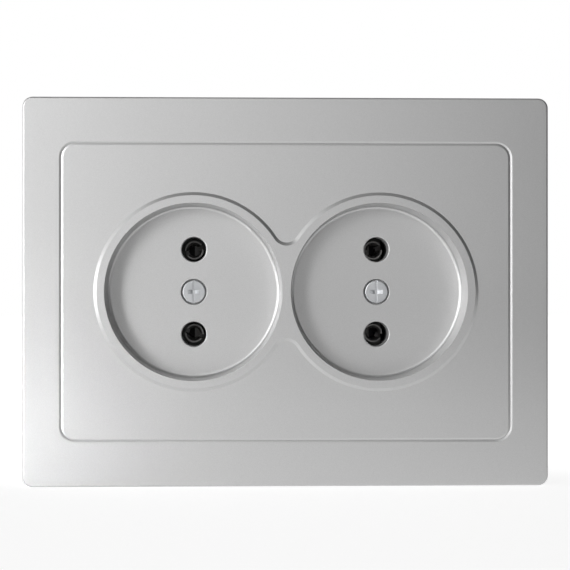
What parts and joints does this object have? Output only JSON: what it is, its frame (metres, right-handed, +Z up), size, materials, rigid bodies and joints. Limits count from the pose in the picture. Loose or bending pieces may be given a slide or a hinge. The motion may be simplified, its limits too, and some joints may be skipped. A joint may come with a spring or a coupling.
{
  "type": "double wall socket",
  "caption": "Unearthed double wall socket with a flat surround, a front plate with round plug recesses, sprung contacts, a steel bracket and spreading claws.",
  "frame": {"origin": "middle of the box-screw pattern on the wall surface, behind the middle of the front plate", "axes": "+X to the right and +Z up as seen from the room, +Y into the wall, so the front faces -Y"},
  "size_m": [0.116, 0.0328, 0.0856],
  "materials": {
    "silver_plastic": "satin silver metallic lacquer",
    "dark_moulding": "plain moulded, slightly dull",
    "brass": "turned, slightly dull",
    "plated_brass": "nickel plated strip, slightly dull",
    "zinc_steel": "zinc plated"
  },
  "bodies": {
    "root": {"frame": "silver_plastic", "cover": "silver_plastic", "cover_screws": "zinc_steel", "cover_inserts": "brass", "mounting_bracket": "zinc_steel", "bracket_screws": "zinc_steel", "base_body": "dark_moulding", "base_back_cover": "dark_moulding", "back_cover_screws": "zinc_steel", "upper_contact_strip": "plated_brass", "lower_contact_strip": "plated_brass", "upper_terminal_clamp": "zinc_steel", "lower_terminal_clamp": "zinc_steel", "terminal_screws": "zinc_steel", "left_claw_pin": "zinc_steel", "right_claw_pin": "zinc_steel"},
    "left_claw": {"left_claw": "zinc_steel"},
    "right_claw": {"right_claw": "zinc_steel"},
    "left_claw_screw": {"left_claw_screw": "zinc_steel"},
    "right_claw_screw": {"right_claw_screw": "zinc_steel"}
  },
  "joints": [
    {"name": "left_claw_screw_turn", "type": "hinge", "parent": "root", "child": "left_claw_screw", "pos_m": [-0.028, 0, 0], "axis": [0, 1, 0], "range_deg": [0, 845]},
    {"name": "left_claw_swing", "type": "hinge", "parent": "root", "child": "left_claw", "pos_m": [-0.0252, 0.0032, 0], "axis": [0, 0, 1], "range_deg": [0, 24]},
    {"name": "right_claw_screw_turn", "type": "hinge", "parent": "root", "child": "right_claw_screw", "pos_m": [0.028, 0, 0], "axis": [0, 1, 0], "range_deg": [0, 845]},
    {"name": "right_claw_swing", "type": "hinge", "parent": "root", "child": "right_claw", "pos_m": [0.0252, 0.0032, 0], "axis": [0, 0, -1], "range_deg": [0, 24]}
  ],
  "couplings": [
    {"joint": "left_claw_swing", "follows": "left_claw_screw_turn", "ratio": 0.0284},
    {"joint": "right_claw_swing", "follows": "right_claw_screw_turn", "ratio": 0.0284}
  ]
}
